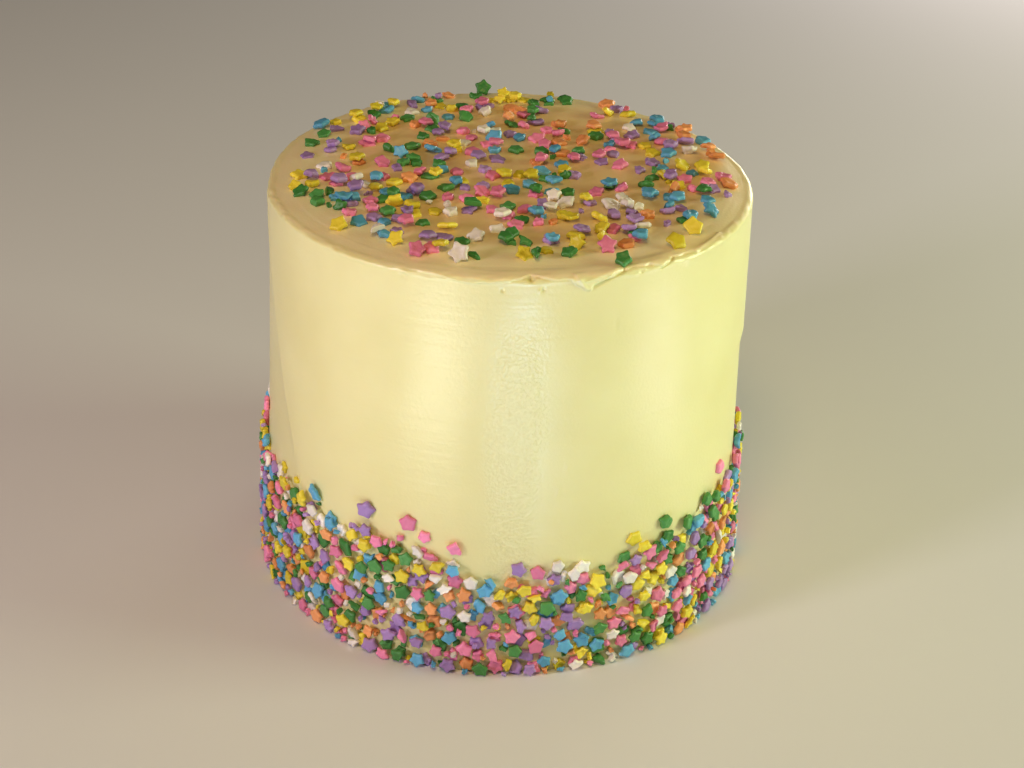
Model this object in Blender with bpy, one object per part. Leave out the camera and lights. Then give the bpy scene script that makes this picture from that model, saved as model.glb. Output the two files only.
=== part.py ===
"""A tall round layer cake in smooth icing, with sugar stars round its foot and over its top.

The cake stands on Z = 0 with its axis on Z. Azimuth 0 is the front, at -Y, and grows towards +X.
"""

import math
import random

import bmesh
import bpy
from mathutils import Matrix, Vector

MM = 0.001

# Iced body
CAKE_HEIGHT = 140.7 * MM
BASE_RADIUS = 83.6 * MM
TOP_RADIUS = 79.4 * MM
RIM_ROUNDING = 3.0 * MM

# Uneven wall, left by the scraper that smoothed it
WAVE_DEPTH = 0.25 * MM
WAVE_AZIMUTH = 70.0
BACK_FLAT_DEPTH = 1.6 * MM
BACK_FLAT_AZIMUTH = 132.0
BACK_FLAT_SPREAD = 26.0
SEAM_DEPTH = 0.9 * MM
SEAM_AZIMUTH = -63.4
SEAM_HEIGHT = 86.6 * MM
SEAM_LEAN = -0.283 / MM
SEAM_SPREAD = 34.0
FACET_DEPTH = 0.5 * MM
FACET_AZIMUTH = 26.0
FACET_SPREAD = 16.0
STEP_DEPTH = 0.9 * MM
STEP_AZIMUTH = 84.0
STEP_SPREAD = 12.0
STEP_HEIGHT = 91.6 * MM
STEP_SOFTNESS = 2.0 * MM

# Icing dragged over the top edge at the front, and the low waves left on the top
LIP_REACH = 0.8 * MM
LIP_RISE = 0.7 * MM
LIP_AZIMUTH = 12.0
LIP_SPREAD = 34.0
SWIRL_HEIGHT = 0.35 * MM
SWIRL_PITCH = 31.0 * MM
SWIRL_ARMS = 2

# Mesh of the body: columns round it, heights on the wall, steps over the rounded edge, rings on top
COLUMNS = 56
WALL_HEIGHTS = [share * CAKE_HEIGHT for share in (0.0, 0.17, 0.34, 0.5, 0.64, 0.76, 0.88)]
RIM_STEPS = 3
TOP_RINGS = (0.82, 0.55, 0.27)

# Sugar star: five blunt points, a flat side all round and a low dome on each face
STAR_POINTS = 5
STAR_RADIUS = 3.1 * MM
STAR_WAIST = 0.62
STAR_EDGE = 1.7 * MM
STAR_DOME = 0.3 * MM
STAR_SINK = 0.7 * MM
STAR_SIZES = (0.86, 1.1)
SUGAR_COLOURS = {
    "pink": (0.84, 0.16, 0.38),
    "purple": (0.36, 0.16, 0.5),
    "blue": (0.08, 0.38, 0.66),
    "green": (0.03, 0.25, 0.06),
    "yellow": (0.83, 0.68, 0.04),
    "orange": (0.86, 0.28, 0.09),
    "white": (0.78, 0.7, 0.66),
}
COLOUR_SHARES = (18, 15, 15, 17, 15, 9, 11)

# Stars over the top: the ones that stand alone near the edge (x and y in mm, colour, tilt, and the azimuth
# that the tipped face looks to), then an even spread
TOP_STARS = 70
TOP_CENTRE = (1.0 * MM, 4.5 * MM)
TOP_SPREAD = 71.5 * MM
TOP_TILT = 36.0
EDGE_STARS = (
    (-13.8, -69.2, "white", 58.0, -10.0),
    (5.4, -65.8, "yellow", 42.0, 20.0),
    (20.8, -57.0, "yellow", 56.0, -30.0),
    (30.0, -58.6, "pink", 36.0, 10.0),
    (34.4, -67.2, "green", 34.0, -20.0),
    (51.2, -53.6, "yellow", 34.0, 20.0),
    (57.0, -44.0, "yellow", 50.0, -15.0),
    (63.6, -28.8, "blue", 30.0, 60.0),
    (71.8, -6.0, "orange", 20.0, 80.0),
    (-51.4, -49.2, "yellow", 34.0, -20.0),
    (-33.4, -58.8, "yellow", 40.0, -30.0),
    (-65.8, -24.0, "green", 30.0, -60.0),
    (-66.0, 36.0, "blue", 20.0, -90.0),
    (-11.2, 74.5, "green", 66.0, 0.0),
)

# Stars round the foot: strays above the band (azimuth in degrees, height in mm), then an even spread
BAND_STARS = 119
BAND_FLOOR = 3.9 * MM
BAND_MEAN = 45.0 * MM
BAND_SWAY = 9.0 * MM
BAND_LOW_AZIMUTH = 8.0
BAND_TILT = 20.0
STRAY_STARS = (
    (-80.5, 58.0, "pink"),
    (-46.0, 51.1, "blue"),
    (-30.4, 54.2, "purple"),
    (-20.0, 53.6, "pink"),
    (4.9, 39.9, "purple"),
    (31.9, 45.1, "yellow"),
    (62.0, 54.0, "pink"),
)

CANDIDATES = 14
SEED = 12


def hump(azimuth, centre, spread):
    """A smooth hump of height 1 at the centre azimuth, in degrees."""
    return math.exp(-((wrapped(azimuth - centre) / spread) ** 2))


def wrapped(azimuth):
    """The same azimuth between -180 and 180 degrees."""
    return (azimuth + 180.0) % 360.0 - 180.0


def smooth_step(share):
    """0 below 0, 1 above 1, and a smooth rise between them."""
    share = min(1.0, max(0.0, share))
    return share * share * (3.0 - 2.0 * share)


def wall_radius(azimuth, height):
    """Distance of the iced wall from the axis."""
    radius = BASE_RADIUS + (TOP_RADIUS - BASE_RADIUS) * height / CAKE_HEIGHT
    radius += WAVE_DEPTH * math.cos(math.radians(3.0 * (azimuth - WAVE_AZIMUTH)))
    radius -= BACK_FLAT_DEPTH * hump(azimuth, BACK_FLAT_AZIMUTH, BACK_FLAT_SPREAD)
    radius -= FACET_DEPTH * hump(azimuth, FACET_AZIMUTH - FACET_SPREAD, FACET_SPREAD)
    past_seam = wrapped(SEAM_AZIMUTH + SEAM_LEAN * (height - SEAM_HEIGHT) - azimuth)
    if 0.0 < past_seam < SEAM_SPREAD:
        radius -= SEAM_DEPTH * math.sin(math.pi * (past_seam / SEAM_SPREAD) ** 0.6)
    under_step = smooth_step((STEP_HEIGHT - height) / STEP_SOFTNESS + 0.5)
    radius -= STEP_DEPTH * under_step * hump(azimuth, STEP_AZIMUTH, STEP_SPREAD)
    return radius


def top_height(x, y):
    """Height of the iced top, with the low spiral waves of the spatula."""
    distance = math.hypot(x, y)
    turn = SWIRL_ARMS * math.atan2(y, x) + 2.0 * math.pi * distance / SWIRL_PITCH
    fade = smooth_step(distance / SWIRL_PITCH) * smooth_step((TOP_RADIUS - distance) / SWIRL_PITCH)
    return CAKE_HEIGHT + SWIRL_HEIGHT * fade * math.sin(turn)


def make_material(name, colour, roughness):
    """A plain opaque material."""
    material = bpy.data.materials.new(name)
    material.use_nodes = True
    material.diffuse_color = (*colour, 1.0)
    shader = material.node_tree.nodes["Principled BSDF"]
    shader.inputs["Base Color"].default_value = (*colour, 1.0)
    shader.inputs["Roughness"].default_value = roughness
    shader.inputs["Metallic"].default_value = 0.0
    return material


def body_rings(azimuth):
    """Points up one column of the body, from the foot over the rounded edge to near the axis."""
    turn = math.radians(azimuth)
    outward = Vector((math.sin(turn), -math.cos(turn), 0.0))
    points = [outward * wall_radius(azimuth, height) + Vector((0.0, 0.0, height)) for height in WALL_HEIGHTS]
    lip = hump(azimuth, LIP_AZIMUTH, LIP_SPREAD)
    edge_radius = wall_radius(azimuth, CAKE_HEIGHT)
    for step in range(RIM_STEPS + 1):
        angle = 0.5 * math.pi * step / RIM_STEPS
        radius = edge_radius - RIM_ROUNDING * (1.0 - math.cos(angle)) + LIP_REACH * lip * math.cos(angle)
        height = CAKE_HEIGHT - RIM_ROUNDING * (1.0 - math.sin(angle)) + LIP_RISE * lip * math.sin(angle)
        points.append(outward * radius + Vector((0.0, 0.0, height)))
    for share in TOP_RINGS:
        place = outward * share * TOP_RADIUS
        points.append(Vector((place.x, place.y, top_height(place.x, place.y))))
    return points


def make_body(material):
    """The iced cake without its stars: one closed mesh with a flat foot."""
    mesh = bmesh.new()
    columns = []
    for column in range(COLUMNS):
        points = body_rings(360.0 * column / COLUMNS)
        columns.append([mesh.verts.new(point) for point in points])
    middle = mesh.verts.new((0.0, 0.0, top_height(0.0, 0.0)))
    for column, left in enumerate(columns):
        right = columns[(column + 1) % COLUMNS]
        for ring in range(len(left) - 1):
            mesh.faces.new((left[ring], right[ring], right[ring + 1], left[ring + 1]))
        mesh.faces.new((left[-1], right[-1], middle))
    mesh.faces.new([column[0] for column in reversed(columns)])
    data = bpy.data.meshes.new("cake")
    mesh.to_mesh(data)
    mesh.free()
    data.materials.append(material)
    body = bpy.data.objects.new("cake", data)
    bpy.context.scene.collection.objects.link(body)
    return body


def make_star_mesh(name, material):
    """A pressed sugar star, lying in the XY plane about its own middle."""
    mesh = bmesh.new()
    rims = []
    for side in (-1, 1):
        rim = []
        for corner in range(2 * STAR_POINTS):
            angle = math.pi * corner / STAR_POINTS
            radius = STAR_RADIUS * (STAR_WAIST if corner % 2 else 1.0)
            place = (radius * math.cos(angle), radius * math.sin(angle), 0.5 * side * STAR_EDGE)
            rim.append(mesh.verts.new(place))
        middle = mesh.verts.new((0.0, 0.0, side * (0.5 * STAR_EDGE + STAR_DOME)))
        for corner, start in enumerate(rim):
            end = rim[(corner + 1) % len(rim)]
            mesh.faces.new((start, end, middle) if side > 0 else (end, start, middle))
        rims.append(rim)
    lower, upper = rims
    for corner in range(2 * STAR_POINTS):
        beside = (corner + 1) % (2 * STAR_POINTS)
        mesh.faces.new((lower[corner], lower[beside], upper[beside], upper[corner]))
    data = bpy.data.meshes.new(name)
    mesh.to_mesh(data)
    mesh.free()
    data.materials.append(material)
    return data


def spread_evenly(points, count, candidate, distance):
    """Adds points one by one, each the candidate that lies farthest from those already there."""
    while len(points) < count:
        trials = [candidate() for _ in range(CANDIDATES)]
        points.append(max(trials, key=lambda trial: min(distance(trial, point) for point in points)))


def top_places(draw):
    """Places (x, y) of the stars on top."""

    def candidate():
        radius = TOP_SPREAD * math.sqrt(draw.random())
        turn = draw.uniform(0.0, 2.0 * math.pi)
        return (TOP_CENTRE[0] + radius * math.cos(turn), TOP_CENTRE[1] + radius * math.sin(turn))

    places = [(x * MM, y * MM) for x, y, *_ in EDGE_STARS]
    spread_evenly(places, TOP_STARS, candidate, math.dist)
    return places


def band_top(azimuth):
    """Upper edge of the band of stars round the foot: low at the front and back, high at the sides."""
    return BAND_MEAN - BAND_SWAY * math.cos(math.radians(2.0 * (azimuth - BAND_LOW_AZIMUTH)))


def band_places(draw):
    """Places (azimuth, height) of the stars round the foot."""

    def candidate():
        while True:
            azimuth = draw.uniform(-180.0, 180.0)
            height = draw.uniform(BAND_FLOOR, BAND_MEAN + BAND_SWAY)
            if height < band_top(azimuth):
                return (azimuth, height)

    def distance(one, other):
        round_the_wall = math.radians(wrapped(one[0] - other[0])) * BASE_RADIUS
        return math.hypot(round_the_wall, one[1] - other[1])

    places = [(azimuth, height * MM) for azimuth, height, _ in STRAY_STARS]
    spread_evenly(places, BAND_STARS, candidate, distance)
    return places


def top_frame(x, y):
    """Placement on the top: Z out of the icing."""
    return Matrix.Translation((x, y, top_height(x, y)))


def wall_frame(azimuth, height):
    """Placement on the wall: X along it, Y up, Z out of the icing."""
    turn = math.radians(azimuth)
    along = Vector((math.cos(turn), math.sin(turn), 0.0))
    outward = Vector((math.sin(turn), -math.cos(turn), 0.0))
    axes = Matrix((along, Vector((0.0, 0.0, 1.0)), outward)).transposed().to_4x4()
    return Matrix.Translation(outward * wall_radius(azimuth, height) + Vector((0.0, 0.0, height))) @ axes


def star_pose(turn, tilt, lean, size):
    """A star turned in its own plane, tipped towards an azimuth, and sunk in by its lowest corner."""
    tip, towards = math.radians(tilt), math.radians(lean)
    reach = size * (0.5 * STAR_EDGE * math.cos(tip) + STAR_RADIUS * math.sin(tip))
    return (
        Matrix.Translation((0.0, 0.0, reach - STAR_SINK))
        @ Matrix.Rotation(tip, 4, Vector((math.cos(towards), math.sin(towards), 0.0)))
        @ Matrix.Rotation(math.radians(turn), 4, "Z")
        @ Matrix.Scale(size, 4)
    )


def scatter_stars(collection, meshes):
    """Lays every star on the top and round the foot."""
    draw = random.Random(SEED)
    laid = [(top_frame(*place), TOP_TILT) for place in top_places(draw)]
    laid += [(wall_frame(*place), BAND_TILT) for place in band_places(draw)]
    colours = draw.choices(list(SUGAR_COLOURS), weights=COLOUR_SHARES, k=len(laid))
    for index, (_, _, colour) in enumerate(STRAY_STARS):
        colours[TOP_STARS + index] = colour
    for index, (frame, most_tilt) in enumerate(laid):
        turn = draw.uniform(0.0, 360.0 / STAR_POINTS)
        tilt = draw.uniform(0.0, most_tilt)
        lean = draw.uniform(-180.0, 180.0)
        size = draw.uniform(*STAR_SIZES)
        if index < len(EDGE_STARS):
            _, _, colours[index], tilt, lean = EDGE_STARS[index]
        star = bpy.data.objects.new(f"star_{index}", meshes[colours[index]])
        star.matrix_world = frame @ star_pose(turn, tilt, lean, size)
        collection.objects.link(star)


def fuse(body, collection):
    """Joins the collection's stars to the body as one closed solid, then removes them."""
    union = body.modifiers.new("stars", "BOOLEAN")
    union.operation = "UNION"
    union.operand_type = "COLLECTION"
    union.collection = collection
    union.solver = "EXACT"
    union.material_mode = "TRANSFER"
    evaluated = body.evaluated_get(bpy.context.evaluated_depsgraph_get())
    fused = bpy.data.meshes.new_from_object(evaluated)
    body.modifiers.clear()
    body.data = fused
    for star in list(collection.objects):
        bpy.data.objects.remove(star)
    bpy.data.collections.remove(collection)


def main():
    """Clears the scene and builds the cake."""
    for item in list(bpy.data.objects):
        bpy.data.objects.remove(item)
    body = make_body(make_material("icing", (0.9, 0.8, 0.46), 0.4))
    stars = bpy.data.collections.new("sugar stars")
    bpy.context.scene.collection.children.link(stars)
    meshes = {
        name: make_star_mesh(f"star_{name}", make_material(f"sugar_{name}", colour, 0.55))
        for name, colour in SUGAR_COLOURS.items()
    }
    scatter_stars(stars, meshes)
    fuse(body, stars)
    body.data.shade_smooth()
    body.data.set_sharp_from_angle(angle=math.radians(35.0))


main()
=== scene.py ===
"""Looks of the layer cake: its icing, its sugar stars, soft studio light and the photograph's camera.

Metres throughout, Z up. Azimuth 0 is the cake's front, at -Y, and grows towards +X, in degrees.
The sizes of the cake and the rule that lays the first stars are those of the solid cake.
"""

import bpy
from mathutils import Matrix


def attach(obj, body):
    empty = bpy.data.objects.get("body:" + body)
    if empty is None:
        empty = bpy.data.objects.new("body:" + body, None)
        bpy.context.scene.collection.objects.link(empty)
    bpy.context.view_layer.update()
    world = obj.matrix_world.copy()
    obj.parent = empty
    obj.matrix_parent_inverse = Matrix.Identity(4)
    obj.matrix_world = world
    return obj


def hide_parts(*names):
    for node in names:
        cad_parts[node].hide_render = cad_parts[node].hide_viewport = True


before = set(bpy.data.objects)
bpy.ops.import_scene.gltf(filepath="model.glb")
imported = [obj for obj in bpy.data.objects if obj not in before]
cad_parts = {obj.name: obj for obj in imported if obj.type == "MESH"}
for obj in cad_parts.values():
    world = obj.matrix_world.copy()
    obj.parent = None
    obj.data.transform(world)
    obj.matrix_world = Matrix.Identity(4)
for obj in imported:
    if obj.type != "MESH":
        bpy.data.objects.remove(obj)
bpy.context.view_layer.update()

import functools
import math
import random

import bpy
import numpy as np
from mathutils import Matrix, Vector

MM = 0.001
NODE = "cake"
BODY = "root"

# Noises of the icing's relief: cells of a table of random heights, and the seed of each table
NOISE_CELLS = 256
SEEDS = {
    "drift": 3,
    "strokes": 4,
    "ridges": 5,
    "streaks": 6,
    "lumps": 7,
    "lip edge": 11,
    "lip": 12,
    "crest": 13,
    "edge fill": 14,
    "crest strength": 15,
}

# Iced body
CAKE_HEIGHT = 140.7 * MM
BASE_RADIUS = 83.6 * MM
TOP_RADIUS = 79.4 * MM
RIM_ROUNDING = 3.0 * MM
RIM_ARC = 0.5 * math.pi * RIM_ROUNDING
FLAT_RADIUS = TOP_RADIUS - RIM_ROUNDING

# Uneven wall, left by the scraper that smoothed it
WAVE_DEPTH = 0.25 * MM
WAVE_COUNT = 3.0
WAVE_AZIMUTH = 70.0
BACK_FLAT_DEPTH = 1.6 * MM
BACK_FLAT_AZIMUTH = 132.0
BACK_FLAT_SPREAD = 26.0
SEAM_DEPTH = 0.9 * MM
SEAM_AZIMUTH = -63.4
SEAM_HEIGHT = 86.6 * MM
SEAM_LEAN = -0.283 / MM
SEAM_SPREAD = 34.0
SEAM_SHAPE = 0.6
FACET_DEPTH = 0.5 * MM
FACET_AZIMUTH = 26.0
FACET_SPREAD = 16.0
STEP_DEPTH = 0.9 * MM
STEP_AZIMUTH = 84.0
STEP_SPREAD = 12.0
STEP_HEIGHT = 91.6 * MM
STEP_SOFTNESS = 2.0 * MM
# Its last faint ripples: height, arc of a lump in degrees, its length, and start and seed of its noise
WALL_RIPPLES = (
    (0.108 * MM, 24.0, 60.0 * MM, 5, 21),
    (0.054 * MM, 6.0, 45.0 * MM, 3, 22),
    (0.03 * MM, 40.0, 7.0 * MM, 3, 23),
)

# Icing dragged over the front edge. Its ragged lower edge is given as (azimuth, reach), where reach is
# the way over the rounded edge in mm, from 0 where the flat top ends.
LIP_THICKNESS = 0.65 * MM
LIP_UNEVEN = (0.85, 0.3)
LIP_UNEVEN_ARC = 4.0
LIP_UNEVEN_LENGTH = 3.0 * MM
LIP_UNEVEN_START = (30.0, 9.0)
LIP_EDGE_SOFTNESS = 0.35 * MM
LIP_EDGE_SWAY = 0.3 * MM
LIP_EDGE_ARC = 1.6
LIP_EDGE_START = 80.0
LIP_RAMP = 5.0 * MM
LIP_FADE = (-30.0, -12.0, 41.0, 50.0)
LIP_EDGE = (
    (-44, 0.4), (-34, 1.0), (-24, 1.8), (-16, 2.4), (-7.5, 3.9), (-2.7, 3.6), (1.0, 3.0), (3.5, 1.8),
    (5.5, 0.6), (7.2, 1.0), (9.5, 2.3), (12.2, 2.7), (14.4, 2.6), (15.2, 4.4), (18.4, 7.1), (19.6, 5.2),
    (22.6, 3.0), (26.3, 1.5), (33, 1.3), (36, 3.4), (39, 1.5), (48.5, 1.9), (56, 1.0), (68, 0.3),
)
# How far the edge fills out its rounding all round, and the low ragged crest that runs along it
EDGE_FILL = 0.65 * MM
EDGE_FILL_SWAY = 0.35
EDGE_FILL_ARC = 1.8
EDGE_FILL_LENGTH = 1.2 * MM
CREST_HEIGHT = 0.22 * MM
CREST_PLACE = 1.2 * MM
CREST_SWAY = 0.8 * MM
CREST_SPREAD = 1.0 * MM
CREST_SWAY_ARC = 2.4
CREST_STRENGTH_ARC = 3.0
CREST_REST = 0.15
CREST_AZIMUTH = 30.0
CREST_WIDTH = 24.0
# Pits and bumps as (azimuth, reach, radius, height), in degrees and mm
MARK_SHARPNESS = 2.0
MARKS = (
    (5.6, 2.0, 1.3, -1.0), (-0.5, 6.2, 0.7, -0.45), (8.2, 6.0, 0.8, -0.55), (7.4, 6.2, 0.7, 0.35),
    (24.9, 19.0, 0.7, -0.35), (15.0, 67.0, 1.0, 0.3), (13.1, 75.3, 1.0, 0.3), (52.0, 50.0, 0.8, -0.3),
    (-71.4, 22.6, 1.3, 0.6), (-22.0, 4.6, 1.6, -0.3), (30.5, 3.2, 1.0, -0.4),
)
# Grooves and ridges as (azimuth, reach) at both ends, half width and height
GROOVE_SHARPNESS = 1.5
GROOVES = (
    (19.3, 6.0, 26.6, 1.6, 0.7, -0.55),
    (17.4, 3.7, 25.0, 1.2, 0.6, 0.3),
    (35.7, 3.8, 39.4, 1.3, 0.6, -0.5),
    (46.5, 1.9, 57.5, 0.5, 0.6, 0.4),
    (44.0, 4.2, 56.0, 3.2, 2.2, 0.3),
    (15.2, 1.6, 17.6, 6.4, 0.6, 0.3),
)

# Top: low spiral waves, overlapping spatula strokes with their ridges and fine streaks, soft lumps, and how
# it sinks towards its edge
SWIRL_HEIGHT = 0.35 * MM
SWIRL_PITCH = 31.0 * MM
SWIRL_ARMS = 2
STROKE_HEIGHT = 0.3 * MM
STROKE_ARC = 30.0
STROKE_WIDTH = 7.5 * MM
STROKE_SHARE = 0.5
STROKE_DRIFT = 2.5 * MM
STROKE_DRIFT_SIZE = 22.0 * MM
STROKE_DRIFT_START = 40.0
RIDGE_ARC = 24.0
RIDGE_WIDTH = 9.0 * MM
RIDGE_SHARE = 0.35
LUMP_SIZE = 9.0 * MM
LUMP_SHARE = 0.4
LUMP_START = 60.0
STREAK_HEIGHT = 0.05 * MM
STREAK_ARC = 18.0
STREAK_WIDTH = 1.1 * MM
QUIET_MIDDLE = 14.0 * MM
MARKS_FADE = 5.0 * MM
SHOULDER_DROP = 1.6 * MM
SHOULDER_WIDTH = 14.0 * MM
SHOULDER_LIFT = 0.35 * MM
SHOULDER_REACH = 1.2

# Icing mesh: its columns (degrees) and its rows as (start, end, spacing), in mm of the way up the wall,
# over the edge and in over the top. The rows near the edge have every column, the others every second one.
COLUMNS = ((-76.0, 65.2, 0.22), (65.2, 284.0, 1.2))
WALL_ROWS = ((0.0, 60.0, 5.0), (60.0, 80.0, 1.3), (80.0, 100.0, 1.7), (100.0, 128.0, 2.3))
EDGE_ROWS = ((128.0, 137.7, 0.4), (137.7, 142.41, 0.24), (142.41, 147.41, 0.3))
TOP_ROWS = ((147.41, 217.3, 1.2),)

# Icing colours, each from its darker to its lighter patches: wall, edge of the top and middle of the top.
# The two colours of the top are painted light and painted shade.
# Then where the patches end on the scale of their noise, and the range of the roughness.
WALL_ICING = ((0.78, 0.745, 0.375), (0.83, 0.8, 0.435))
# Painted light: the top is a warmer tan than the wall, as warm light from above makes it, and lighter at
# its edge, where the rim catches more light.
PAINTED_LIGHT_EDGE_ICING = ((0.94, 0.82, 0.52), (0.98, 0.87, 0.58))
# Painted shade: the middle of the top is darker and more saturated, for the shadows and bounced light among
# its stars.
PAINTED_SHADE_INNER_ICING = ((0.83, 0.61, 0.29), (0.92, 0.71, 0.38))
PATCH_ENDS = (0.35, 0.68)
ICING_ROUGHNESS = (0.3, 0.4)

# Painted shade in the middle of the top: its centre, where it ends, and how far and how softly that edge of
# it sways
PAINTED_SHADE_CENTRE = (6.0 * MM, 5.0 * MM, 0.0)
PAINTED_SHADE_RADIUS = 62.0 * MM
PAINTED_SHADE_SWAY = 18.0 * MM
PAINTED_SHADE_SOFTNESS = 7.0 * MM

# How far below the top's height its colours, which are painted light, start and are complete
TOP_PAINTED_LIGHT_DEPTHS = (1.5 * MM, 0.3 * MM)

# Upright strip of coarser grain at the front of the wall. It fades between two shares of its half width.
GRAIN_MIDDLE = 5.0 * MM
GRAIN_HALF_WIDTH = 8.5 * MM
GRAIN_FADE = (1.3, 0.6)
GRAIN_SWAY = 16.0 * MM
GRAIN_TOP = 122.0 * MM
GRAIN_TOP_SOFTNESS = 8.0 * MM
GRAIN_STRENGTHS = (0.12, 0.65)
GRAIN_DEPTH = 0.5 * MM

# Scraper's level lines in the icing
LINE_NOISE = (1.0, 2.0)
LINE_SCALES = (25.0, 25.0, 420.0)
LINE_STRENGTH = 0.3
LINE_DEPTH = 0.3 * MM

# Noises of the icing's colour, grain and sheen: scale and detail
MOTTLE_NOISE = (28.0, 3.0)
GRAIN_NOISE = (1000.0, 2.0)
GLOSS_NOISE = (60.0, 2.0)

# Sugar star, as on the solid cake. Its outline is softened in rounds.
STAR_POINTS = 5
STAR_RADIUS = 3.1 * MM
STAR_WAIST = 0.62
STAR_EDGE = 1.7 * MM
STAR_SINK = 0.7 * MM
STAR_SIZES = (0.86, 1.1)
STAR_STEPS = 3
STAR_SOFTENING = 2
# Rings of a star's mesh from the middle of its upper face to that of its lower: share of the outline, and
# height as a share of half the thickness
STAR_RINGS = ((0.45, 0.7), (0.8, 0.92), (1.0, 0.4), (1.0, -0.4), (0.8, -0.9), (0.48, -1.0))
STAR_DISH = 0.6

# How each star differs from the next: ranges of the length of its arms, its skew and oval as shares of its
# radius, its thickness, then how its middle swells and cups and how it warps, in mm
ARM_GAIN = (-0.14, 0.06)
SKEW = (0.02, 0.12)
OVAL = (0.0, 0.1)
THICKNESS = (0.85, 1.25)
SWELL = (-0.15, 0.3)
CUP = (-0.5, 0.5)
WARP = (-0.4, 0.4)
FACE_ROUGHNESS = 0.1 * MM
FACE_WAVES = 6.0
# Where a broken side starts, as a share of the star's radius, its slant, and how flat it is
BREAK_PLACE = (-0.15, 0.4)
BREAK_SLANT = (-0.3, 0.3)
BREAK_FLATNESS = 0.94

# Sugar: its colours and their shares, the darkest and the palest star of a colour (factor and what is
# added), and its grain (scale, detail, strength and depth)
SUGAR_COLOURS = {
    "pink": (0.88, 0.24, 0.48),
    "purple": (0.39, 0.24, 0.63),
    "blue": (0.1, 0.42, 0.75),
    "green": (0.05, 0.27, 0.055),
    "yellow": (0.82, 0.7, 0.04),
    "orange": (0.9, 0.36, 0.13),
    "white": (0.92, 0.89, 0.88),
}
COLOUR_SHARES = (18, 15, 15, 17, 15, 9, 11)
SUGAR_SHADES = ((0.82, 0.0), (1.15, 0.03))
SUGAR_NOISE = (1800.0, 3.0)
SUGAR_STRENGTH = 0.4
SUGAR_DEPTH = 0.2 * MM

# The first stars over the top: the ones that stand alone near the edge (x and y in mm, colour, tilt, and
# the azimuth that the tipped face looks to), then an even spread
TOP_STARS = 70
TOP_CENTRE = (1.0 * MM, 4.5 * MM)
TOP_SPREAD = 71.5 * MM
TOP_TILT = 36.0
EDGE_STARS = (
    (-13.8, -69.2, "white", 58.0, -10.0),
    (5.4, -65.8, "yellow", 42.0, 20.0),
    (20.8, -57.0, "yellow", 56.0, -30.0),
    (30.0, -58.6, "pink", 36.0, 10.0),
    (34.4, -67.2, "green", 34.0, -20.0),
    (51.2, -53.6, "yellow", 34.0, 20.0),
    (57.0, -44.0, "yellow", 50.0, -15.0),
    (63.6, -28.8, "blue", 30.0, 60.0),
    (71.8, -6.0, "orange", 20.0, 80.0),
    (-51.4, -49.2, "yellow", 34.0, -20.0),
    (-33.4, -58.8, "yellow", 40.0, -30.0),
    (-65.8, -24.0, "green", 30.0, -60.0),
    (-66.0, 36.0, "blue", 20.0, -90.0),
    (-11.2, 74.5, "green", 66.0, 0.0),
)

# The first stars round the foot: strays above the band (azimuth, height in mm), then an even spread
BAND_STARS = 119
BAND_FLOOR = 3.9 * MM
BAND_MEAN = 45.0 * MM
BAND_SWAY = 9.0 * MM
BAND_LOW_AZIMUTH = 8.0
BAND_TILT = 20.0
STRAY_STARS = (
    (-80.5, 58.0, "pink"),
    (-46.0, 51.1, "blue"),
    (-30.4, 54.2, "purple"),
    (-20.0, 53.6, "pink"),
    (4.9, 39.9, "purple"),
    (31.9, 45.1, "yellow"),
    (62.0, 54.0, "pink"),
)
CANDIDATES = 14
SEED = 12

# Groups of one colour that stand out: the middle, (x, y) in mm on top and (azimuth, height) in degrees and
# mm on the band, then the colour and the number of stars
TOP_GROUPS = (
    (3, -54, "green", 4), (-14, -59, "green", 2), (-57, -31, "green", 2), (-31, 4, "green", 3),
    (25, 35, "green", 2), (12, 65, "green", 2), (-37, -45, "purple", 3), (-18, -54, "purple", 2),
    (36, -34, "purple", 4), (35, 35, "purple", 3), (71, -6, "purple", 2), (-53, -11, "pink", 4),
    (-23, -64, "pink", 2), (-7, -22, "pink", 3), (11, -46, "pink", 2), (45, 25, "pink", 2),
    (-46, 22, "pink", 2), (-27, 23, "orange", 2), (57, 44, "orange", 2), (71, 19, "orange", 2),
    (-57, 38, "yellow", 2), (-30, -34, "yellow", 2), (0, 69, "yellow", 3), (-64, -20, "yellow", 2),
    (3, -7, "yellow", 2), (35, -28, "white", 2), (45, 42, "white", 1), (-54, -28, "blue", 3),
    (-43, -45, "blue", 2), (49, -18, "blue", 4), (51, 13, "blue", 2), (-27, 50, "blue", 2),
)
BAND_GROUPS = (
    (8, 34, "pink", 4), (-14, 46, "pink", 3), (1, 12, "pink", 3), (19, 31, "pink", 2),
    (-23, 50, "pink", 1), (58, 11, "pink", 2), (5, 17, "purple", 5), (-25, 10, "purple", 3),
    (-43, 34, "purple", 3), (32, 35, "purple", 2), (18, 12, "blue", 6), (11, 23, "blue", 2),
    (-38, 42, "blue", 2), (-6, 24, "blue", 2), (8, 28, "green", 3), (17, 28, "green", 2),
    (25, 16, "green", 2), (35, 7, "green", 4), (41, 40, "green", 3), (-23, 28, "green", 2),
    (-26, 42, "green", 2), (23, 26, "yellow", 3), (60, 19, "yellow", 4), (51, 13, "yellow", 2),
    (-30, 44, "yellow", 3), (-37, 9, "yellow", 2), (-30, 5, "orange", 2), (2, 31, "orange", 2),
    (-20, 18, "orange", 2), (59, 33, "orange", 2), (16, 34, "white", 3), (-46, 39, "white", 2),
    (-21, 24, "white", 2), (30, 34, "white", 2),
)
GROUP_SPREAD = 3.2 * MM
GROUP_REACH = 4.0 * MM

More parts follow.
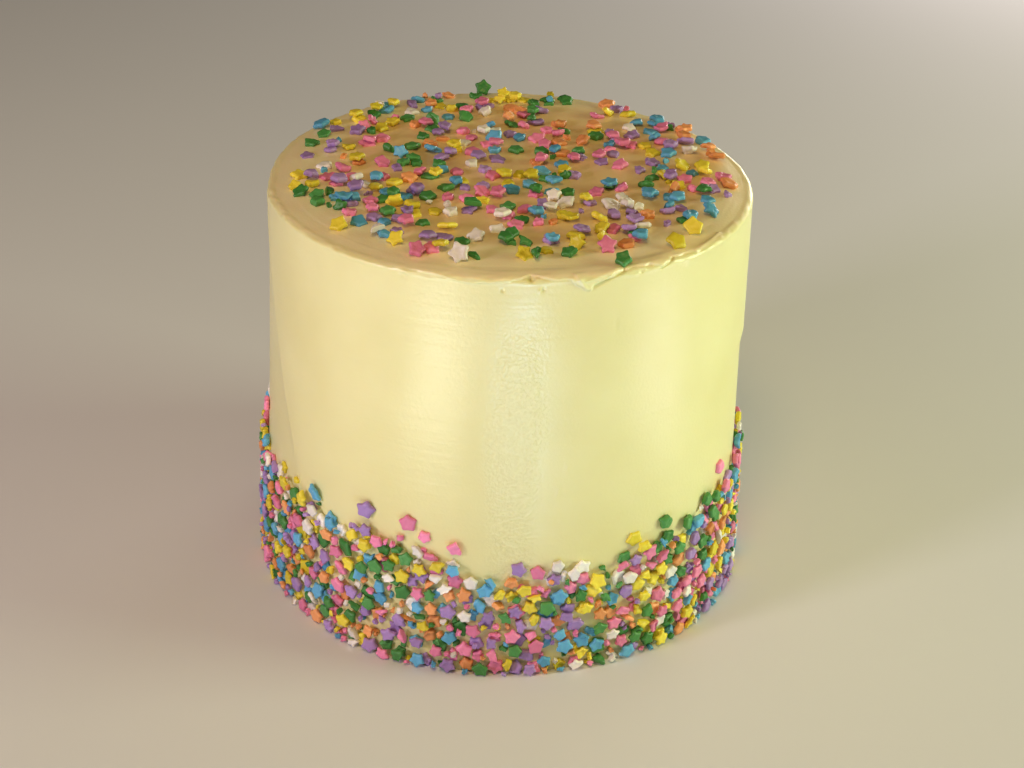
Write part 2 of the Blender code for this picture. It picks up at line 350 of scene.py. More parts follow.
# Upper edge of the whole band: (azimuth, height in mm)
BAND_EDGE = (
    (-180, 38), (-160, 39), (-135, 43), (-115, 49), (-100, 52), (-80, 49), (-70, 47), (-63, 48.5),
    (-50, 50), (-46, 51), (-42, 46.5), (-34, 49), (-30, 50), (-24, 46.5), (-12, 46), (-8, 41),
    (-4, 38), (0, 37.5), (2.4, 33.5), (7, 38), (11, 39.5), (21.5, 39.5), (26, 38), (30, 42),
    (38, 43.5), (47, 43.5), (56, 48.5), (61, 50), (70, 48), (75, 51), (85, 54), (100, 52),
    (135, 42), (160, 38), (180, 38),
)
BAND_EDGE_DROP = 2.8 * MM
BAND_RAGGED = 0.9 * MM

# The remaining stars, which fill both to the density of the real cake: in clumps on top, and in the band
# with a share of them under the groups and a share right at the foot
TOP_TOTAL = 385
CLUMP_SIZE = 12.0 * MM
CLUMP_START = 50.0
CLUMP_LIMITS = (0.25, 0.65)
BAND_TOTAL = 1700
UNDER_SHARE = 0.2
FOOT_SHARE = 0.1

# Beds that the stars lie on: cell, height of the band's bed, and how high, near the edge and low they lie
CELL = 0.7 * MM
BED_HEIGHT = 0.6 * CAKE_HEIGHT
TOP_HIGHEST = 4.8 * MM
TOP_MARGIN = 5.0 * MM
BAND_HIGHEST = 3.7 * MM
FLOOR_GAP = 0.4 * MM

# How a star is laid: places and poses tried, how deep it sinks, and the usual and the rarer tilts
PLACE_TRIES = 5
POSE_TRIES = 3
SINK_IN_ICING = 0.45 * MM
SINK_IN_STARS = 0.1 * MM
TOP_USUAL_TILT = 38.0
BAND_USUAL_TILT = 27.0
TIPPED_SHARE = 0.1
TIPPED_TILTS = (60.0, 90.0)

# Shares of broken stars and of crumbs, and the sizes of crumbs and of the remaining stars
BROKEN_SHARE = 0.2
CRUMB_SHARE = 0.08
CRUMB_SIZES = (0.3, 0.55)
MORE_SIZES = (0.72, 0.96)

# Soft boxes that look at the cake: azimuth, elevation, distance, (width, height), power and colour
SOFTBOXES = {
    "left_key": (-54.0, 17.0, 1.1, (0.2, 0.2), 4.6, (1.0, 0.82, 0.88)),
    "right_key": (85.0, 12.0, 1.1, (0.5, 0.4), 8.6, (0.92, 1.0, 0.62)),
    "front_fill": (-8.0, 58.0, 1.3, (0.36, 0.3), 5.5, (1.0, 0.69, 0.24)),
    "back_fill": (150.0, 6.0, 1.3, (0.6, 0.3), 5.5, (1.0, 0.87, 0.78)),
}
# Soft lights that lie on the floor, for the sheen of the wall: azimuth, distance, (width, depth), power
# and colour
GLOWS = {
    "left_glow": (-24.0, 0.3, (0.1, 0.12), 0.34, (0.96, 1.0, 0.84)),
    "right_glow": (64.0, 0.3, (0.12, 0.12), 0.18, (1.0, 0.85, 0.93)),
    "front_glow": (9.7, 0.284, (0.028, 0.136), 0.28, (0.42, 0.68, 1.0)),
}
GLOW_HEIGHT = 2.0 * MM
ROOM_COLOUR = (1.0, 0.86, 0.71)
ROOM_STRENGTH = 0.07

# Floor: the darker and the lighter of its tones, their noise (scale and detail), and half its width
FLOOR_TONES = ((0.72, 0.75, 0.85), (0.76, 0.79, 0.89))
FLOOR_NOISE = (3.0, 4.0)
FLOOR_HALF = 3.0

# Camera of the photograph
PICTURE_WIDTH = 1024
SENSOR_WIDTH = 36.0
FOCAL_PIXELS = 1758.06
CAMERA_DISTANCE = 616.3 * MM
CAMERA_ELEVATION = 29.14
CAMERA_ROLL = 1.87
CAMERA_TARGET = (2.95 * MM, 0.0, 61.33 * MM)
CLIP_START = 10.0 * MM


def wrapped(azimuth):
    """The same azimuth between -180 and 180 degrees."""
    return (azimuth + 180.0) % 360.0 - 180.0


def hump(azimuth, centre, spread):
    """A smooth hump of height 1 at the centre azimuth."""
    return np.exp(-((wrapped(azimuth - centre) / spread) ** 2))


def smooth_step(share):
    """0 below 0, 1 above 1, and a smooth rise between them."""
    share = np.clip(share, 0.0, 1.0)
    return share * share * (3.0 - 2.0 * share)


def wall_radius(azimuth, height):
    """Distance of the iced wall from the axis."""
    radius = BASE_RADIUS + (TOP_RADIUS - BASE_RADIUS) * height / CAKE_HEIGHT
    radius = radius + WAVE_DEPTH * np.cos(np.radians(WAVE_COUNT * (azimuth - WAVE_AZIMUTH)))
    radius = radius - BACK_FLAT_DEPTH * hump(azimuth, BACK_FLAT_AZIMUTH, BACK_FLAT_SPREAD)
    radius = radius - FACET_DEPTH * hump(azimuth, FACET_AZIMUTH - FACET_SPREAD, FACET_SPREAD)
    past_seam = wrapped(SEAM_AZIMUTH + SEAM_LEAN * (height - SEAM_HEIGHT) - azimuth) / SEAM_SPREAD
    radius = radius - SEAM_DEPTH * np.sin(math.pi * np.clip(past_seam, 0.0, 1.0) ** SEAM_SHAPE)
    under_step = smooth_step((STEP_HEIGHT - height) / STEP_SOFTNESS + 0.5)
    return radius - STEP_DEPTH * under_step * hump(azimuth, STEP_AZIMUTH, STEP_SPREAD)


def top_height(x, y):
    """Height of the iced top, with the low spiral waves of the spatula."""
    distance = np.hypot(x, y)
    turn = SWIRL_ARMS * np.arctan2(y, x) + 2.0 * math.pi * distance / SWIRL_PITCH
    fade = smooth_step(distance / SWIRL_PITCH) * smooth_step((TOP_RADIUS - distance) / SWIRL_PITCH)
    return CAKE_HEIGHT + SWIRL_HEIGHT * fade * np.sin(turn)


@functools.lru_cache(maxsize=None)
def noise_table(seed):
    """Random heights between -1 and 1, one for each cell."""
    return np.random.default_rng(seed).uniform(-1.0, 1.0, (NOISE_CELLS, NOISE_CELLS))


def soft_noise(u, v, seed, period=0):
    """Smooth random heights between -1 and 1 over (u, v), one lump a unit. period wraps u."""
    table = noise_table(seed)
    column, row = np.floor(u).astype(int), np.floor(v).astype(int)
    across, along = smooth_step(u - column), smooth_step(v - row)
    beside = column + 1
    if period:
        column, beside = column % period, beside % period
    corners = [(i % NOISE_CELLS, j % NOISE_CELLS) for i in (column, beside) for j in (row, row + 1)]
    low_near, high_near, low_far, high_far = (table[corner] for corner in corners)
    near = low_near + (high_near - low_near) * along
    far = low_far + (high_far - low_far) * along
    return near + (far - near) * across


def ring_noise(azimuth, arc, along, seed):
    """Smooth random heights round the cake, with a lump every arc degrees."""
    return soft_noise(azimuth / arc + 180.0 / arc, along, seed, round(360.0 / arc))


def spatula_marks(x, y):
    """Fine relief of the top: strokes that follow the turntable, and the streaks within them."""
    distance = np.hypot(x, y)
    azimuth = np.degrees(np.arctan2(x, -y))
    across, along = (part / STROKE_DRIFT_SIZE + STROKE_DRIFT_START for part in (x, y))
    drift = distance + STROKE_DRIFT * soft_noise(across, along, SEEDS["drift"])
    strokes = ring_noise(azimuth, STROKE_ARC, drift / STROKE_WIDTH, SEEDS["strokes"])
    ridges = ring_noise(azimuth, RIDGE_ARC, drift / RIDGE_WIDTH, SEEDS["ridges"])
    ridges = 1.0 - 2.0 * np.abs(ridges)
    streaks = ring_noise(azimuth, STREAK_ARC, drift / STREAK_WIDTH, SEEDS["streaks"])
    across, along = (part / LUMP_SIZE + LUMP_START for part in (x, y))
    lumps = soft_noise(across, along, SEEDS["lumps"])
    quiet = smooth_step(distance / QUIET_MIDDLE)
    relief = STROKE_HEIGHT * (STROKE_SHARE * strokes + RIDGE_SHARE * ridges) * quiet
    return relief + LUMP_SHARE * STROKE_HEIGHT * lumps + STREAK_HEIGHT * streaks * quiet


def lip_relief(azimuth, reach):
    """How far the icing dragged over the edge stands out, with its tears, pits and grooves."""
    low_start, low_end, high_start, high_end = LIP_FADE
    window = smooth_step((azimuth - low_start) / (low_end - low_start))
    window = window * smooth_step((high_end - azimuth) / (high_end - high_start))
    azimuths, reaches = zip(*LIP_EDGE)
    edge = np.interp(azimuth, azimuths, reaches) * MM
    start = azimuth / LIP_EDGE_ARC + LIP_EDGE_START
    edge = edge + LIP_EDGE_SWAY * soft_noise(start, reach * 0.0, SEEDS["lip edge"])
    ramp = smooth_step((reach + LIP_RAMP) / LIP_RAMP) ** 2
    cover = 1.0 - smooth_step((reach - edge) / LIP_EDGE_SOFTNESS + 0.5)
    across = azimuth / LIP_UNEVEN_ARC + LIP_UNEVEN_START[0]
    along = reach / LIP_UNEVEN_LENGTH + LIP_UNEVEN_START[1]
    uneven = LIP_UNEVEN[0] + LIP_UNEVEN[1] * soft_noise(across, along, SEEDS["lip"])
    relief = LIP_THICKNESS * window * ramp * cover * uneven
    crest = ring_noise(azimuth, CREST_SWAY_ARC, reach * 0.0, SEEDS["crest"])
    crest = CREST_PLACE + CREST_SWAY * crest
    strength = ring_noise(azimuth, CREST_STRENGTH_ARC, reach * 0.0, SEEDS["crest strength"])
    strength = 0.5 + 0.5 * strength
    strength = strength * (CREST_REST + (1.0 - CREST_REST) * hump(azimuth, CREST_AZIMUTH, CREST_WIDTH))
    relief = relief + CREST_HEIGHT * strength * np.exp(-(((reach - crest) / CREST_SPREAD) ** 2))
    arc = np.radians(azimuth) * TOP_RADIUS
    for centre, place, radius, height in MARKS:
        off = np.hypot(arc - math.radians(centre) * TOP_RADIUS, reach - place * MM) / (radius * MM)
        relief = relief + height * MM * np.exp(-(off**2) * MARK_SHARPNESS)
    for start, start_reach, end, end_reach, half_width, height in GROOVES:
        first = np.array((math.radians(start) * TOP_RADIUS, start_reach * MM))
        run = np.array((math.radians(end) * TOP_RADIUS, end_reach * MM)) - first
        share = ((arc - first[0]) * run[0] + (reach - first[1]) * run[1]) / (run @ run)
        inside = np.clip(share, 0.0, 1.0)
        off = np.hypot(arc - first[0] - inside * run[0], reach - first[1] - inside * run[1])
        relief = relief + height * MM * np.exp(-((off / (half_width * MM)) ** 2) * GROOVE_SHARPNESS)
    return relief


def wall_ripple(azimuth, height):
    """The last faint unevenness of the scraped wall."""
    return sum(
        ripple * ring_noise(azimuth, arc, height / length + start, seed)
        for ripple, arc, length, start, seed in WALL_RIPPLES
    )


def spaced(stops):
    """Values from the first stop to the last, each stretch (start, end, step) at its own spacing."""
    values = []
    for start, end, step in stops:
        count = max(1, round((end - start) / step))
        values.extend(start + (end - start) * np.arange(count) / count)
    return np.array(values)


def shoulder(distance, flat_radius):
    """How the top sinks, more and more steeply, towards its rounded edge."""
    outward = (distance - flat_radius - RIM_ROUNDING) / SHOULDER_WIDTH + 1.0
    return SHOULDER_LIFT - SHOULDER_DROP * np.clip(outward, 0.0, SHOULDER_REACH) ** 2


def icing_surface(azimuth, run):
    """Points of the icing. run is the way up the wall, over the edge and in over the top."""
    edge_height = CAKE_HEIGHT - RIM_ROUNDING
    height = np.minimum(run, edge_height)
    angle = np.clip((run - edge_height) / RIM_ROUNDING, 0.0, 0.5 * math.pi)
    share = 1.0 - np.maximum(run - edge_height - RIM_ARC, 0.0) / FLAT_RADIUS
    fill = ring_noise(azimuth, EDGE_FILL_ARC, run / EDGE_FILL_LENGTH, SEEDS["edge fill"])
    fill = EDGE_FILL * (1.0 + EDGE_FILL_SWAY * fill) * np.sin(2.0 * angle) ** 2
    stand = RIM_ROUNDING + fill + lip_relief(azimuth, edge_height + RIM_ARC - run)
    flat = wall_radius(azimuth, height) - RIM_ROUNDING
    radius = flat * share + (stand + wall_ripple(azimuth, height)) * np.cos(angle)
    turn = np.radians(azimuth)
    x, y = radius * np.sin(turn), -radius * np.cos(turn)
    rim = height + (stand + shoulder(radius, flat)) * np.sin(angle)
    height = np.where(share < 1.0, top_surface(x, y, flat), rim)
    return np.stack((x, y, height), axis=-1)


def icing_rows(columns, stretches):
    """A grid of points over some rows of the icing, one column after the other."""
    rows = spaced([(start * MM, end * MM, step * MM) for start, end, step in stretches])
    return icing_surface(*np.meshgrid(columns, rows, indexing="ij"))


def top_surface(x, y, flat_radius):
    """Height of the finished top, with its marks and the lip at its edge."""
    distance = np.hypot(x, y)
    azimuth = np.degrees(np.arctan2(x, -y))
    fade = smooth_step((flat_radius - distance) / MARKS_FADE)
    height = top_height(x, y) + shoulder(distance, flat_radius)
    return height + spatula_marks(x, y) * fade + lip_relief(azimuth, distance - flat_radius)


def make_piece(name, points, faces, material):
    """A smooth mesh object that rides with the cake and stands for its solid."""
    data = bpy.data.meshes.new(name)
    data.from_pydata(points, [], faces)
    data.validate()
    data.materials.append(material)
    data.shade_smooth()
    piece = bpy.data.objects.new(name, data)
    bpy.context.scene.collection.objects.link(piece)
    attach(piece, BODY)
    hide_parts(NODE)


def make_icing():
    """The icing as one closed mesh with a flat foot."""
    columns = spaced(COLUMNS)
    grids = (
        icing_rows(columns[::2], WALL_ROWS),
        icing_rows(columns, EDGE_ROWS),
        icing_rows(columns[::2], TOP_ROWS),
    )
    points = np.concatenate([grid.reshape(-1, 3) for grid in grids]).tolist()
    middle = len(points)
    points.append([0.0, 0.0, float(top_surface(0.0, 0.0, TOP_RADIUS))])
    faces, indices, first = [], [], 0
    for grid in grids:
        count, rows, _ = grid.shape
        index = first + np.arange(count * rows).reshape(count, rows)
        beside = np.roll(index, -1, axis=0)
        quads = np.stack((index[:, :-1], beside[:, :-1], beside[:, 1:], index[:, 1:]), axis=-1)
        faces.extend(quads.reshape(-1, 4).tolist())
        indices.append((index, beside))
        first += count * rows
    (wall, wall_beside), (edge, edge_beside), (top, top_beside) = indices
    for column in range(len(wall)):
        left, between, right = edge[2 * column], edge_beside[2 * column], edge_beside[2 * column + 1]
        faces.append((wall[column, -1], wall_beside[column, -1], right[0], between[0], left[0]))
        faces.append((left[-1], between[-1], right[-1], top_beside[column, 0], top[column, 0]))
        faces.append((top[column, -1], top_beside[column, -1], middle))
    faces.append(wall[::-1, 0])
    faces = [[int(corner) for corner in face] for face in faces]
    make_piece("icing", points, faces, icing_material())


def spread_evenly(points, count, candidate, distance):
    """Adds points one by one, each the candidate that lies farthest from those already there."""
    while len(points) < count:
        trials = [candidate() for _ in range(CANDIDATES)]
        points.append(max(trials, key=lambda trial: min(distance(trial, point) for point in points)))


def top_places(draw):
    """Places (x, y) of the first stars on top."""

    def candidate():
        """Any place on top."""
        radius = TOP_SPREAD * math.sqrt(draw.random())
        turn = draw.uniform(0.0, 2.0 * math.pi)
        return (TOP_CENTRE[0] + radius * math.cos(turn), TOP_CENTRE[1] + radius * math.sin(turn))

    places = [(x * MM, y * MM) for x, y, *_ in EDGE_STARS]
    spread_evenly(places, TOP_STARS, candidate, math.dist)
    return places


def band_top(azimuth):
    """Upper edge of the band of stars round the foot: low at the front and back, high at the sides."""
    return BAND_MEAN - BAND_SWAY * math.cos(math.radians(2.0 * (azimuth - BAND_LOW_AZIMUTH)))


def band_places(draw):
    """Places (azimuth, height) of the first stars round the foot."""

    def candidate():
        """Any place in the band."""
        while True:
            azimuth = draw.uniform(-180.0, 180.0)
            height = draw.uniform(BAND_FLOOR, BAND_MEAN + BAND_SWAY)
            if height < band_top(azimuth):
                return (azimuth, height)

    def distance(one, other):
        """Distance of two places over the wall."""
        round_the_wall = math.radians(wrapped(one[0] - other[0])) * BASE_RADIUS
        return math.hypot(round_the_wall, one[1] - other[1])

    places = [(azimuth, height * MM) for azimuth, height, _ in STRAY_STARS]
    spread_evenly(places, BAND_STARS, candidate, distance)
    return places


def wall_frame(azimuth, height):
    """Placement on the wall: X along it, Y up, Z out of the icing."""
    turn = math.radians(azimuth)
    along = Vector((math.cos(turn), math.sin(turn), 0.0))
    outward = Vector((math.sin(turn), -math.cos(turn), 0.0))
    axes = Matrix((along, Vector((0.0, 0.0, 1.0)), outward)).transposed().to_4x4()
    place = outward * float(wall_radius(azimuth, height)) + Vector((0.0, 0.0, height))
    return Matrix.Translation(place) @ axes


def turned(turn, tilt, lean):
    """Rotation of a star: its turn in its own plane, then a tip towards an azimuth, all in degrees."""
    towards = math.radians(lean)
    axis = Vector((math.cos(towards), math.sin(towards), 0.0))
    spin = Matrix.Rotation(math.radians(turn), 3, "Z")
    return np.array(Matrix.Rotation(math.radians(tilt), 3, axis) @ spin)


class Bed:
    """Height of what stars can lie on over a grid of cells, and the stars laid there, by colour."""

    def __init__(self, low, high, wraps, lowest, highest, farthest, usual_tilt, groups, icing, to_cake):
        """wraps joins its two sides, and lowest, highest and farthest limit where a star lies."""
        self.low = np.array(low)
        self.count = np.ceil((np.array(high) - self.low) / CELL).astype(int)
        self.wraps = wraps
        self.lowest = lowest
        self.highest = highest
        self.farthest = farthest
        self.usual_tilt = usual_tilt
        self.groups = groups
        self.to_cake = to_cake
        middles = [start + (np.arange(count) + 0.5) * CELL for start, count in zip(self.low, self.count)]
        self.icing = icing(*np.meshgrid(*middles, indexing="ij"))
        self.height = self.icing.copy()
        self.stars = {name: [] for name in SUGAR_COLOURS}
        self.total = 0

    def cells(self, points, place):
        """Indices of the cells under a star's points."""
        across, along = (
            np.floor((points[:, axis] + place[axis] - self.low[axis]) / CELL) for axis in (0, 1)
        )
        across = across % self.count[0] if self.wraps else np.clip(across, 0, self.count[0] - 1)
        return across.astype(int), np.clip(along, 0, self.count[1] - 1).astype(int)

    def rest(self, points, place):
        """Height of a star's middle where it touches what is under it."""
        points = probed(points)
        under = self.cells(points, place)
        gaps = self.height[under] - points[:, 2]
        touch = gaps.argmax()
        on_icing = self.height[under][touch] <= self.icing[under][touch]
        return gaps[touch] - (SINK_IN_ICING if on_icing else SINK_IN_STARS)

    def lay(self, points, place, height, colour):
        """Adds a star to the bed."""
        probes = probed(points)
        np.maximum.at(self.height, self.cells(probes, place), probes[:, 2] + height)
        self.stars[colour].append(self.to_cake(points, place, height))
        self.total += 1

    def settle(self, rng, points, place):
        """Tips a star a few ways over a place and keeps the lowest lie: (top, place, height, pose)."""
        tipped = rng.random() < TIPPED_SHARE
        best = None
        for _ in range(POSE_TRIES):
            tilt = rng.uniform(*TIPPED_TILTS) if tipped else abs(rng.normal(0.0, self.usual_tilt))
            turn, lean = rng.uniform(0.0, 360.0), rng.uniform(-180.0, 180.0)
            pose = points @ turned(turn, tilt, lean).T
            spot = (place[0], max(place[1], self.lowest - pose[:, 1].min()))
            height = self.rest(pose, spot)
            top = height + pose[:, 2].max()
            if best is None or top < best[0]:
                best = (top, spot, height, pose)
        return best


def star_outline():
    """Outline of a pressed star with softened points, of unit radius."""
    corners = []
    for corner in range(2 * STAR_POINTS):
        angle = math.pi * corner / STAR_POINTS
        radius = STAR_WAIST if corner % 2 else 1.0
        corners.append((radius * math.cos(angle), radius * math.sin(angle)))
    corners = np.array(corners)
    shares = np.arange(STAR_STEPS)[:, None, None] / STAR_STEPS
    outline = corners + shares * (np.roll(corners, -1, axis=0) - corners)
    outline = outline.transpose(1, 0, 2).reshape(-1, 2)
    for _ in range(STAR_SOFTENING):
        beside = np.roll(outline, 1, axis=0) + np.roll(outline, -1, axis=0)
        outline = 0.5 * outline + 0.25 * beside
    return outline / np.hypot(*outline.T).max()


def star_template():
    """Points and faces of a sugar star of unit radius and unit half thickness."""
    outline = star_outline()
    count = len(outline)
    points = [np.array([[0.0, 0.0, STAR_DISH]])]
    for share, height in STAR_RINGS:
        points.append(np.column_stack((outline * share, np.full(count, height))))
    points.append(np.array([[0.0, 0.0, -1.0]]))
    points = np.concatenate(points)
    last = len(points) - 1
    faces = [(0, 1 + corner, 1 + (corner + 1) % count) for corner in range(count)]
    for ring in range(len(STAR_RINGS) - 1):
        upper, lower = 1 + ring * count, 1 + (ring + 1) * count
        for corner in range(count):
            beside = (corner + 1) % count
            faces.append((upper + corner, lower + corner, lower + beside, upper + beside))
    base = last - count
    faces.extend((base + (corner + 1) % count, base + corner, last) for corner in range(count))
    return points, faces


def probed(points):
    """A star's points and those half way between its rings."""
    step = 2 * STAR_POINTS * STAR_STEPS
    return np.concatenate((points, 0.5 * (points[step:] + points[:-step])))


def star_points(template, rng, size, broken):
    """One star of its own: uneven arms, bent and cupped or domed, sometimes with a side broken off."""
    points = template.copy()
    flat = points[:, :2]
    turn = np.arctan2(flat[:, 1], flat[:, 0])
    stretch = 1.0 + rng.uniform(*ARM_GAIN) * (0.5 - 0.5 * np.cos(STAR_POINTS * turn))
    stretch = stretch + rng.uniform(*SKEW) * np.cos(turn - rng.uniform(0, 2 * math.pi))
    stretch = stretch + rng.uniform(*OVAL) * np.cos(2 * turn - rng.uniform(0, 2 * math.pi))
    flat *= stretch[:, None]
    inside = np.clip(1.0 - (flat**2).sum(axis=1), 0.0, 1.0)
    x, y = (flat * STAR_RADIUS * size).T
    half = 0.5 * STAR_EDGE * rng.uniform(*THICKNESS)
    z = points[:, 2] * (half + rng.uniform(*SWELL) * MM * inside)
    z = z + rng.uniform(*CUP) * MM * inside
    z = z + rng.uniform(*WARP) * MM * (flat[:, 0] ** 2 - flat[:, 1] ** 2)
    side, *phases = rng.uniform(0, 2 * math.pi, 3)
    z = z + FACE_ROUGHNESS * np.prod(np.sin(FACE_WAVES * flat + phases), axis=1)
    points = np.column_stack((x, y, z))
    if broken:
        across = np.array((math.cos(side), math.sin(side), rng.uniform(*BREAK_SLANT)))
        beyond = points @ across - rng.uniform(*BREAK_PLACE) * STAR_RADIUS * size
        points = points - BREAK_FLATNESS * np.clip(beyond, 0.0, None)[:, None] * across
    return points


def new_star(rng, template):
    """The points of a whole, broken or crumbled star."""
    if rng.random() < CRUMB_SHARE:
        return star_points(template, rng, rng.uniform(*CRUMB_SIZES), True)
    return star_points(template, rng, rng.uniform(*MORE_SIZES), rng.random() < BROKEN_SHARE)


def new_colour(rng):
    """A colour, at the shares in which they are mixed."""
    return str(rng.choice(list(SUGAR_COLOURS), p=np.array(COLOUR_SHARES) / sum(COLOUR_SHARES)))


def band_spot(azimuth, height):
    """A place on the wall, unrolled flat."""
    return (math.radians(azimuth) * BASE_RADIUS, height)


def band_edge(azimuth):
    """Upper edge of the whole band, for the middles of its stars."""
    azimuths, heights = zip(*BAND_EDGE)
    return float(np.interp(azimuth, azimuths, heights)) * MM - BAND_EDGE_DROP


def group_colour(groups, place):
    """The colour of the group that a place lies in, or None."""
    for middle, colour, _ in groups:
        if math.dist(middle, place) < GROUP_REACH:
            return colour
    return None


def lay_first_stars(rng, template, top_bed, band_bed):
    """The stars of the solid cake, each in its place there."""
    draw = random.Random(SEED)
    tops, bands = top_places(draw), band_places(draw)
    colours = draw.choices(list(SUGAR_COLOURS), weights=COLOUR_SHARES, k=len(tops) + len(bands))
    for index, (_, _, colour) in enumerate(STRAY_STARS):
        colours[TOP_STARS + index] = colour
    for index, (place, colour) in enumerate(zip(tops + bands, colours)):
        above = index < TOP_STARS
        turn = draw.uniform(0.0, 360.0 / STAR_POINTS)
        tilt = draw.uniform(0.0, TOP_TILT if above else BAND_TILT)
        lean = draw.uniform(-180.0, 180.0)
        size = draw.uniform(*STAR_SIZES)
        if index < len(EDGE_STARS):
            _, _, colour, tilt, lean = EDGE_STARS[index]
        tip = math.radians(tilt)
        height = size * (0.5 * STAR_EDGE * math.cos(tip) + STAR_RADIUS * math.sin(tip)) - STAR_SINK
        bed, spot = (top_bed, place) if above else (band_bed, band_spot(*place))
        if above:
            height += float(top_height(*place))
        listed = index < len(EDGE_STARS) or 0 <= index - TOP_STARS < len(STRAY_STARS)
        if not listed:
            colour = group_colour(bed.groups, spot) or colour
        points = star_points(template, rng, size, False) @ turned(turn, tilt, lean).T
        bed.lay(points, spot, height, colour)


def add_star(rng, template, bed, pick_place, colour):
    """Adds a star at the picked place where it lies lowest, unless it would stand too high."""
    points = new_star(rng, template)
    lies = [bed.settle(rng, points, pick_place()) for _ in range(PLACE_TRIES)]
    top, spot, height, pose = min(lies, key=lambda lie: lie[0])
    if top < bed.highest:
        bed.lay(pose, spot, height, colour)


def near(rng, bed, middle):
    """A place close to a group's middle, and still on the bed."""
    while True:
        place = rng.normal(middle, GROUP_SPREAD)
        if math.hypot(*place) < bed.farthest:
            return place


def lay_groups(rng, template, bed):
    """The groups of one colour."""
    for middle, colour, count in bed.groups:
        for _ in range(count):
            add_star(rng, template, bed, lambda: near(rng, bed, middle), colour)


def fill(rng, template, bed, total, pick_place):
    """Adds stars at picked places until the bed has its total."""
    while bed.total < total:
        add_star(rng, template, bed, pick_place, new_colour(rng))


def on_top(points, place, height):
    """A star's points moved from its own axes into the cake's, over the top."""
    return points + np.array((*place, height))


def on_wall(points, place, height):
    """A star's points moved from its own axes into the cake's, on the wall."""
    matrix = np.array(wall_frame(math.degrees(place[0] / BASE_RADIUS), float(place[1])))
    return (points + np.array((0.0, 0.0, height))) @ matrix[:3, :3].T + matrix[:3, 3]


def make_stars():
    """Every sugar star, joined into one piece for each colour."""
    rng = np.random.default_rng(SEED)
    template, faces = star_template()
    side = TOP_RADIUS + CELL
    half_round = math.pi * BASE_RADIUS
    top_bed = Bed(
        low=(-side, -side),
        high=(side, side),
        wraps=False,
        lowest=-math.inf,
        highest=CAKE_HEIGHT + TOP_HIGHEST,
        farthest=TOP_RADIUS - TOP_MARGIN,
        usual_tilt=TOP_USUAL_TILT,
        groups=[((x * MM, y * MM), colour, count) for x, y, colour, count in TOP_GROUPS],
        icing=lambda x, y: top_surface(x, y, FLAT_RADIUS),
        to_cake=on_top,
    )
    band_bed = Bed(
        low=(-half_round, 0.0),
        high=(half_round, BED_HEIGHT),
        wraps=True,
        lowest=FLOOR_GAP,
        highest=BAND_HIGHEST,
        farthest=math.inf,
        usual_tilt=BAND_USUAL_TILT,
        groups=[(band_spot(turn, up * MM), colour, count) for turn, up, colour, count in BAND_GROUPS],
        icing=lambda x, y: 0.0 * x,
        to_cake=on_wall,
    )

    def over_top():
        """A place on top, more often where the stars lie in clumps."""
        while True:
            radius, turn = TOP_SPREAD * math.sqrt(rng.random()), rng.uniform(0.0, 2.0 * math.pi)
            x = TOP_CENTRE[0] + radius * math.cos(turn)
            y = TOP_CENTRE[1] + radius * math.sin(turn)
            noise = soft_noise(x / CLUMP_SIZE + CLUMP_START, y / CLUMP_SIZE + CLUMP_START, SEED)
            clump = 0.5 + 0.5 * float(noise)
            if clump > rng.uniform(*CLUMP_LIMITS) and math.hypot(x, y) < top_bed.farthest:
                return (x, y)

    def in_band():
        """A place in the band, more often right at the foot."""
        while True:
            azimuth = rng.uniform(-180.0, 180.0)
            at_foot = rng.random() < FOOT_SHARE
            height = 0.0 if at_foot else rng.uniform(0.0, BAND_MEAN + BAND_SWAY)
            if height < band_edge(azimuth) + rng.normal(0.0, BAND_RAGGED):
                return band_spot(azimuth, height)

    lay_first_stars(rng, template, top_bed, band_bed)
    lay_groups(rng, template, top_bed)
    fill(rng, template, top_bed, TOP_TOTAL, over_top)
    fill(rng, template, band_bed, round(UNDER_SHARE * BAND_TOTAL), in_band)
    lay_groups(rng, template, band_bed)
    fill(rng, template, band_bed, BAND_TOTAL, in_band)
    for name in SUGAR_COLOURS:
        stars = top_bed.stars[name] + band_bed.stars[name]
        points = np.concatenate(stars).tolist()
        joined = []
        for first in range(0, len(points), len(template)):
            joined.extend([first + corner for corner in face] for face in faces)
        make_piece(f"stars_{name}", points, joined, sugar_material(name))


def new_material(name):
    """A material with its node tree, its shader and its object coordinates."""
    material = bpy.data.materials.new(name)
    material.use_nodes = True
    tree = material.node_tree
    where = tree.nodes.new("ShaderNodeTexCoord").outputs["Object"]
    return material, tree, tree.nodes["Principled BSDF"], where


def add_node(tree, kind, inputs, **settings):
    """Adds a node. inputs maps a socket to its value, or to the output socket that feeds it."""
    node = tree.nodes.new(kind)
    for key, value in settings.items():
        setattr(node, key, value)
    for key, value in inputs.items():
        if isinstance(value, bpy.types.NodeSocket):
            tree.links.new(value, node.inputs[key])
        else:
            node.inputs[key].default_value = value
    return node


def add_noise(tree, where, scale, detail):
    """Noise between 0 and 1."""
    inputs = {"Vector": where, "Scale": scale, "Detail": detail}
    return add_node(tree, "ShaderNodeTexNoise", inputs).outputs["Fac"]


def add_ramp(tree, share, colours, ends=(0.0, 1.0)):
    """A blend between two colours, which are reached at the two ends of the share."""
    ramp = add_node(tree, "ShaderNodeValToRGB", {"Fac": share})
    for element, position, colour in zip(ramp.color_ramp.elements, ends, colours):
        element.position = position
        element.color = (*colour, 1.0)
    return ramp.outputs["Color"]


def add_step(tree, value, start, end):
    """A share that rises smoothly from 0 at start to 1 at end."""
    inputs = {"Value": value, "From Min": start, "From Max": end}
    step = add_node(tree, "ShaderNodeMapRange", inputs, interpolation_type="SMOOTHSTEP")
    return step.outputs["Result"]


